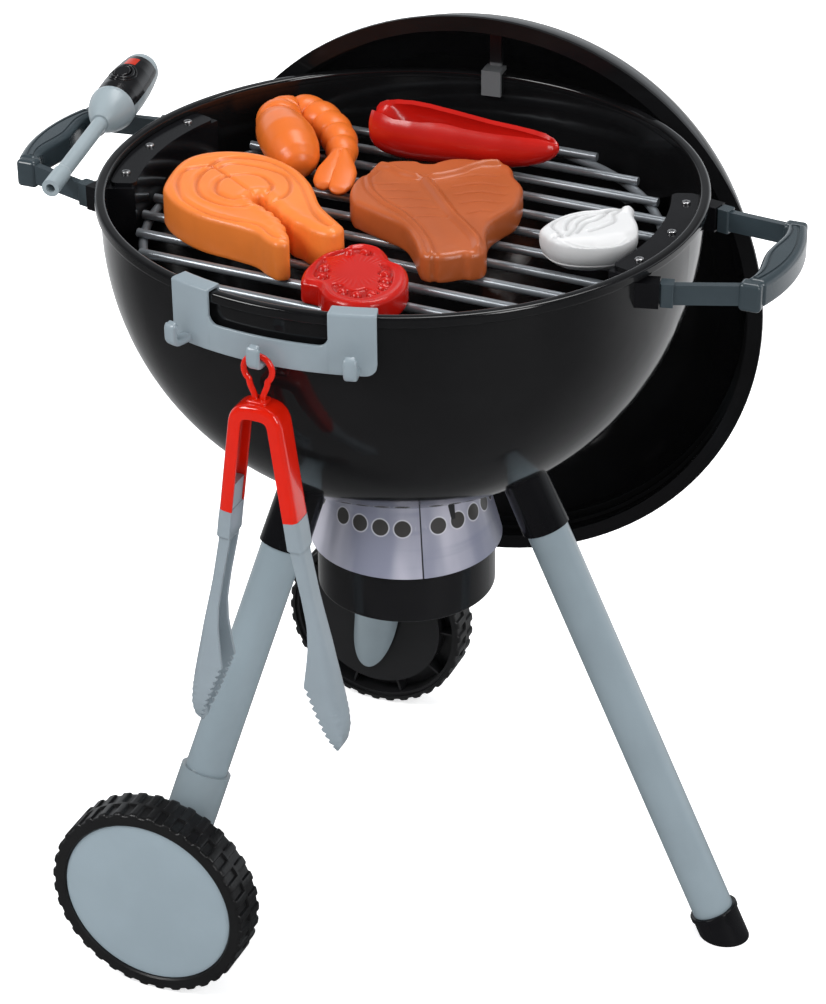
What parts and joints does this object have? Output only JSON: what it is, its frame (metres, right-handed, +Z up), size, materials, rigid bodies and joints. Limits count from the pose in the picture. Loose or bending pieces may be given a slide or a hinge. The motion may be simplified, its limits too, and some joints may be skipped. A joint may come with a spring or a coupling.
{
  "type": "toy barbecue grill",
  "caption": "Toy kettle barbecue on splayed legs with wheels, lift-out grate, play food, hook rack with tongs, toy lighter and a domed lid hung behind the bowl.",
  "frame": {"origin": "on the ground, under the bowl's axis", "axes": "+Z up along the bowl's axis; +X towards the right handle and the foot leg; -Y towards the tool rack, +Y towards the lid hung behind"},
  "size_m": [0.442, 0.4657, 0.4907],
  "materials": {
    "bowl_black": "glossy moulded black plastic",
    "lid_black": "glossy moulded black plastic",
    "fitting_black": "satin black plastic",
    "can_black": "glossy black plastic",
    "wheel_black": "satin black plastic",
    "tyre_black": "matt black hard plastic tyre",
    "cap_grey": "satin light grey plastic",
    "tube_grey": "satin light blue-grey tube",
    "sleeve_grey": "satin light grey plastic",
    "rack_grey": "satin light grey plastic",
    "handle_grey": "satin dark blue-grey plastic",
    "rod_silver": "silver-grey plastic rods",
    "screw_steel": "bright steel screws, washers and rivet",
    "band_silver": "printed brushed-silver band",
    "tongs_red": "glossy red plastic",
    "tongs_grey": "satin light grey plastic",
    "lighter_black": "glossy black plastic",
    "lighter_grey": "satin light grey plastic",
    "button_black": "glossy black button",
    "hook_grey": "satin grey plastic",
    "damper_grey": "satin light grey plastic",
    "salmon_orange": "satin orange plastic",
    "shrimp_orange": "satin orange plastic",
    "steak_brown": "satin brown plastic",
    "tomato_red": "glossy red plastic",
    "pepper_red": "glossy red plastic",
    "onion_white": "satin white plastic"
  },
  "bodies": {
    "stand": {"bowl": "bowl_black", "leg_socket_foot": "fitting_black", "leg_socket_rear": "fitting_black", "leg_socket_front": "fitting_black", "leg_screws": "screw_steel", "leg_tube_foot": "tube_grey", "leg_tube_rear": "tube_grey", "leg_tube_front": "tube_grey", "foot_cap": "fitting_black", "axle_bracket_rear": "sleeve_grey", "axle_bracket_front": "sleeve_grey", "axle_washers": "screw_steel", "vent_band": "band_silver", "ash_can": "can_black", "handle_left": "handle_grey", "handle_right": "handle_grey", "handle_bracket_left": "fitting_black", "handle_bracket_right": "fitting_black", "handle_plate_left": "fitting_black", "handle_plate_right": "fitting_black", "handle_screws_left": "screw_steel", "handle_screws_right": "screw_steel"},
    "wheel_rear": {"wheel_tyre_rear": "tyre_black", "wheel_disc_rear": "wheel_black", "wheel_cap_rear": "cap_grey"},
    "wheel_front": {"wheel_tyre_front": "tyre_black", "wheel_disc_front": "wheel_black", "wheel_cap_front": "cap_grey"},
    "grate": {"cooking_grate": "rod_silver"},
    "salmon": {"salmon_steak": "salmon_orange"},
    "prawn": {"shrimp": "shrimp_orange"},
    "pepper": {"pepper_half": "pepper_red"},
    "tbone": {"tbone_steak": "steak_brown"},
    "tomato": {"tomato_slice": "tomato_red"},
    "onion": {"onion_half": "onion_white"},
    "lid": {"lid_shell": "lid_black", "lid_hook": "hook_grey", "lid_handle": "handle_grey", "lid_handle_screws": "screw_steel", "lid_damper_rivet": "screw_steel"},
    "damper": {"lid_damper": "damper_grey"},
    "rack": {"accessory_rack": "rack_grey"},
    "tongs": {"tongs_bow": "tongs_red"},
    "tongs_right": {"tongs_arm_right": "tongs_red", "tongs_jaw_right": "tongs_grey"},
    "tongs_left": {"tongs_arm_left": "tongs_red", "tongs_jaw_left": "tongs_grey"},
    "lighter": {"lighter_tube": "lighter_grey", "lighter_nose": "lighter_grey", "lighter_upper_shell": "lighter_black", "lighter_lower_shell": "lighter_grey", "lighter_rear_cap": "lighter_grey"},
    "button": {"lighter_button": "button_black"}
  },
  "joints": [
    {"name": "wheel_rear_spin", "type": "hinge", "parent": "stand", "child": "wheel_rear", "pos_m": [-0.08816, 0.16, 0.06], "axis": [0, 1, 0], "continuous": true},
    {"name": "wheel_front_spin", "type": "hinge", "parent": "stand", "child": "wheel_front", "pos_m": [-0.08816, -0.16, 0.06], "axis": [0, 1, 0], "continuous": true},
    {"name": "grate_lift", "type": "slide", "parent": "stand", "child": "grate", "axis": [0, 0, 1], "range_m": [0, 0.04]},
    {"name": "salmon_lift", "type": "slide", "parent": "grate", "child": "salmon", "axis": [0, 0, 1], "range_m": [0, 0.05]},
    {"name": "shrimp_lift", "type": "slide", "parent": "grate", "child": "prawn", "axis": [0, 0, 1], "range_m": [0, 0.05]},
    {"name": "pepper_lift", "type": "slide", "parent": "grate", "child": "pepper", "axis": [0, 0, 1], "range_m": [0, 0.05]},
    {"name": "tbone_lift", "type": "slide", "parent": "grate", "child": "tbone", "axis": [0, 0, 1], "range_m": [0, 0.05]},
    {"name": "tomato_lift", "type": "slide", "parent": "grate", "child": "tomato", "axis": [0, 0, 1], "range_m": [0, 0.05]},
    {"name": "onion_lift", "type": "slide", "parent": "grate", "child": "onion", "axis": [0, 0, 1], "range_m": [0, 0.05]},
    {"name": "lid_lift", "type": "slide", "parent": "stand", "child": "lid", "axis": [0, 0, 1], "range_m": [0, 0.06]},
    {"name": "damper_turn", "type": "hinge", "parent": "lid", "child": "damper", "pos_m": [-0.02294, 0.23806, 0.25513], "axis": [-0.1016, 0.9664, -0.2362], "range_deg": [0, 60]},
    {"name": "rack_lift", "type": "slide", "parent": "stand", "child": "rack", "axis": [0, 0, 1], "range_m": [0, 0.04]},
    {"name": "tongs_swing", "type": "hinge", "parent": "rack", "child": "tongs", "pos_m": [-0.00455, -0.17364, 0.4166], "axis": [0, 1, 0], "range_deg": [-20, 20]},
    {"name": "tongs_squeeze_right", "type": "hinge", "parent": "tongs", "child": "tongs_right", "pos_m": [0.00396, -0.17364, 0.3797], "axis": [0, 1, 0], "range_deg": [0, 8.5], "stiffness_Nm_per_rad": 1},
    {"name": "tongs_squeeze_left", "type": "hinge", "parent": "tongs", "child": "tongs_left", "pos_m": [-0.01305, -0.17364, 0.3797], "axis": [0, -1, 0], "range_deg": [0, 8.5], "stiffness_Nm_per_rad": 1},
    {"name": "lighter_lift", "type": "slide", "parent": "stand", "child": "lighter", "axis": [0, 0, 1], "range_m": [0, 0.05]},
    {"name": "lighter_button_press", "type": "slide", "parent": "lighter", "child": "button", "axis": [-0.0111, 0.0974, -0.9952], "range_m": [0, 0.0012], "stiffness_N_per_m": 400}
  ],
  "couplings": [
    {"joint": "tongs_squeeze_left", "follows": "tongs_squeeze_right", "ratio": 1}
  ]
}
